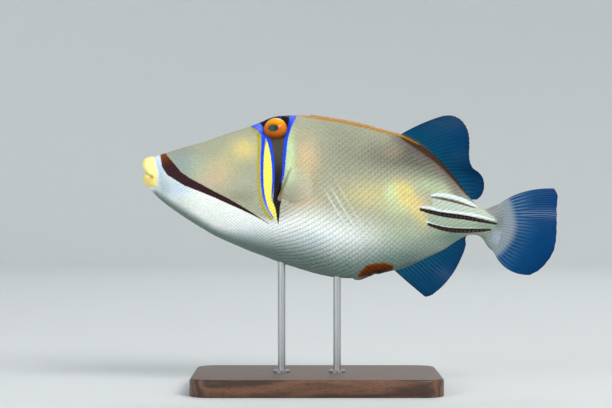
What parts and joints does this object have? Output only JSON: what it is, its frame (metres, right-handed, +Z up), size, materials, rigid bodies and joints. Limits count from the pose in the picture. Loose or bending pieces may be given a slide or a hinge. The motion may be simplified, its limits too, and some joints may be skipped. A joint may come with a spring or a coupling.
{
  "type": "triggerfish model",
  "caption": "Life-size still model of a picasso triggerfish in swimming pose, fins spread, held over a flat wooden base by short steel rods.",
  "frame": {"origin": "on the floor under the stand's base, midway between the tips of the lips and of the tail fin, on the fish's middle plane", "axes": "+X from the lips towards the tail, +Y towards the fish's right side, +Z up"},
  "size_m": [0.2401, 0.09, 0.1584],
  "materials": {
    "fish_skin": "satin",
    "lip_skin": "satin",
    "iris": "gloss",
    "ochre_skin": "satin",
    "fin_web": "satin",
    "walnut": "satin",
    "rod_steel": "satin"
  },
  "bodies": {
    "root": {"lips": "lip_skin", "head": "fish_skin", "eye_left": "iris", "eye_right": "iris", "trunk": "fish_skin", "tail_stem": "fish_skin", "spiny_dorsal_fin": "ochre_skin", "pelvic_stub": "ochre_skin", "soft_dorsal_fin": "fin_web", "anal_fin": "fin_web", "tail_fin": "fin_web", "pectoral_fin_left": "fin_web", "pectoral_fin_right": "fin_web", "stand_base": "walnut", "stand_rod_front": "rod_steel", "stand_rod_rear": "rod_steel"}
  },
  "joints": []
}
